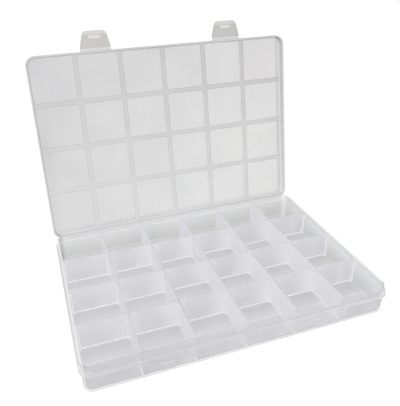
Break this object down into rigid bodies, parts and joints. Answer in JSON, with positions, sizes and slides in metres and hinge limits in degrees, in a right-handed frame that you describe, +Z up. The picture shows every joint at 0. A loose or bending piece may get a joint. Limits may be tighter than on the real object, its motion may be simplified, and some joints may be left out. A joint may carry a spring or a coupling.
{
  "type": "compartment box",
  "caption": "Flat translucent bead organizer: a gridded tray with lift-out dividers, one hinged lid with raised pads, and two hinged latch tabs that hook on the tray's front.",
  "frame": {"origin": "centre of the tray's flat underside", "axes": "+X along the long side, to the right of someone facing the latches; +Y from the latches to the lid's hinge; +Z up"},
  "size_m": [0.1966, 0.1658, 0.1631],
  "materials": {
    "tray_plastic": "translucent milky polypropylene, semi-gloss",
    "divider_plastic": "translucent milky polypropylene, semi-gloss",
    "lid_plastic": "translucent milky polypropylene, satin",
    "latch_plastic": "translucent milky polypropylene, satin",
    "hinge_film": "thin stress-whitened polypropylene film"
  },
  "bodies": {
    "tray": {"tray": "tray_plastic"},
    "lid": {"lid": "lid_plastic", "lid_hinge_web": "hinge_film", "latch_left_web": "hinge_film", "latch_right_web": "hinge_film"},
    "latch_left": {"latch_left": "latch_plastic"},
    "latch_right": {"latch_right": "latch_plastic"},
    "divider_r1_c1": {"divider_r1_c1": "divider_plastic"},
    "divider_r1_c2": {"divider_r1_c2": "divider_plastic"},
    "divider_r1_c3": {"divider_r1_c3": "divider_plastic"},
    "divider_r1_c4": {"divider_r1_c4": "divider_plastic"},
    "divider_r1_c5": {"divider_r1_c5": "divider_plastic"},
    "divider_r1_c6": {"divider_r1_c6": "divider_plastic"},
    "divider_r2_c1": {"divider_r2_c1": "divider_plastic"},
    "divider_r2_c2": {"divider_r2_c2": "divider_plastic"},
    "divider_r2_c3": {"divider_r2_c3": "divider_plastic"},
    "divider_r2_c4": {"divider_r2_c4": "divider_plastic"},
    "divider_r2_c5": {"divider_r2_c5": "divider_plastic"},
    "divider_r2_c6": {"divider_r2_c6": "divider_plastic"},
    "divider_r3_c1": {"divider_r3_c1": "divider_plastic"},
    "divider_r3_c2": {"divider_r3_c2": "divider_plastic"},
    "divider_r3_c3": {"divider_r3_c3": "divider_plastic"},
    "divider_r3_c4": {"divider_r3_c4": "divider_plastic"},
    "divider_r3_c5": {"divider_r3_c5": "divider_plastic"},
    "divider_r3_c6": {"divider_r3_c6": "divider_plastic"}
  },
  "joints": [
    {"name": "lid_hinge", "type": "hinge", "parent": "tray", "child": "lid", "pos_m": [0, 0.068, 0.01605], "axis": [-1, 0, 0], "range_deg": [-100, 80], "deforming": ["lid_hinge_web"]},
    {"name": "latch_left_hinge", "type": "hinge", "parent": "lid", "child": "latch_left", "pos_m": [0, 0.09232, 0.15052], "axis": [-1, 0, 0], "range_deg": [-95, 45], "deforming": ["latch_left_web"]},
    {"name": "latch_right_hinge", "type": "hinge", "parent": "lid", "child": "latch_right", "pos_m": [0, 0.09232, 0.15052], "axis": [-1, 0, 0], "range_deg": [-95, 45], "deforming": ["latch_right_web"]},
    {"name": "divider_r1_c1_slide", "type": "slide", "parent": "tray", "child": "divider_r1_c1", "axis": [0, 0, 1], "range_m": [0, 0.025]},
    {"name": "divider_r1_c2_slide", "type": "slide", "parent": "tray", "child": "divider_r1_c2", "axis": [0, 0, 1], "range_m": [0, 0.025]},
    {"name": "divider_r1_c3_slide", "type": "slide", "parent": "tray", "child": "divider_r1_c3", "axis": [0, 0, 1], "range_m": [0, 0.025]},
    {"name": "divider_r1_c4_slide", "type": "slide", "parent": "tray", "child": "divider_r1_c4", "axis": [0, 0, 1], "range_m": [0, 0.025]},
    {"name": "divider_r1_c5_slide", "type": "slide", "parent": "tray", "child": "divider_r1_c5", "axis": [0, 0, 1], "range_m": [0, 0.025]},
    {"name": "divider_r1_c6_slide", "type": "slide", "parent": "tray", "child": "divider_r1_c6", "axis": [0, 0, 1], "range_m": [0, 0.025]},
    {"name": "divider_r2_c1_slide", "type": "slide", "parent": "tray", "child": "divider_r2_c1", "axis": [0, 0, 1], "range_m": [0, 0.025]},
    {"name": "divider_r2_c2_slide", "type": "slide", "parent": "tray", "child": "divider_r2_c2", "axis": [0, 0, 1], "range_m": [0, 0.025]},
    {"name": "divider_r2_c3_slide", "type": "slide", "parent": "tray", "child": "divider_r2_c3", "axis": [0, 0, 1], "range_m": [0, 0.025]},
    {"name": "divider_r2_c4_slide", "type": "slide", "parent": "tray", "child": "divider_r2_c4", "axis": [0, 0, 1], "range_m": [0, 0.025]},
    {"name": "divider_r2_c5_slide", "type": "slide", "parent": "tray", "child": "divider_r2_c5", "axis": [0, 0, 1], "range_m": [0, 0.025]},
    {"name": "divider_r2_c6_slide", "type": "slide", "parent": "tray", "child": "divider_r2_c6", "axis": [0, 0, 1], "range_m": [0, 0.025]},
    {"name": "divider_r3_c1_slide", "type": "slide", "parent": "tray", "child": "divider_r3_c1", "axis": [0, 0, 1], "range_m": [0, 0.025]},
    {"name": "divider_r3_c2_slide", "type": "slide", "parent": "tray", "child": "divider_r3_c2", "axis": [0, 0, 1], "range_m": [0, 0.025]},
    {"name": "divider_r3_c3_slide", "type": "slide", "parent": "tray", "child": "divider_r3_c3", "axis": [0, 0, 1], "range_m": [0, 0.025]},
    {"name": "divider_r3_c4_slide", "type": "slide", "parent": "tray", "child": "divider_r3_c4", "axis": [0, 0, 1], "range_m": [0, 0.025]},
    {"name": "divider_r3_c5_slide", "type": "slide", "parent": "tray", "child": "divider_r3_c5", "axis": [0, 0, 1], "range_m": [0, 0.025]},
    {"name": "divider_r3_c6_slide", "type": "slide", "parent": "tray", "child": "divider_r3_c6", "axis": [0, 0, 1], "range_m": [0, 0.025]}
  ]
}
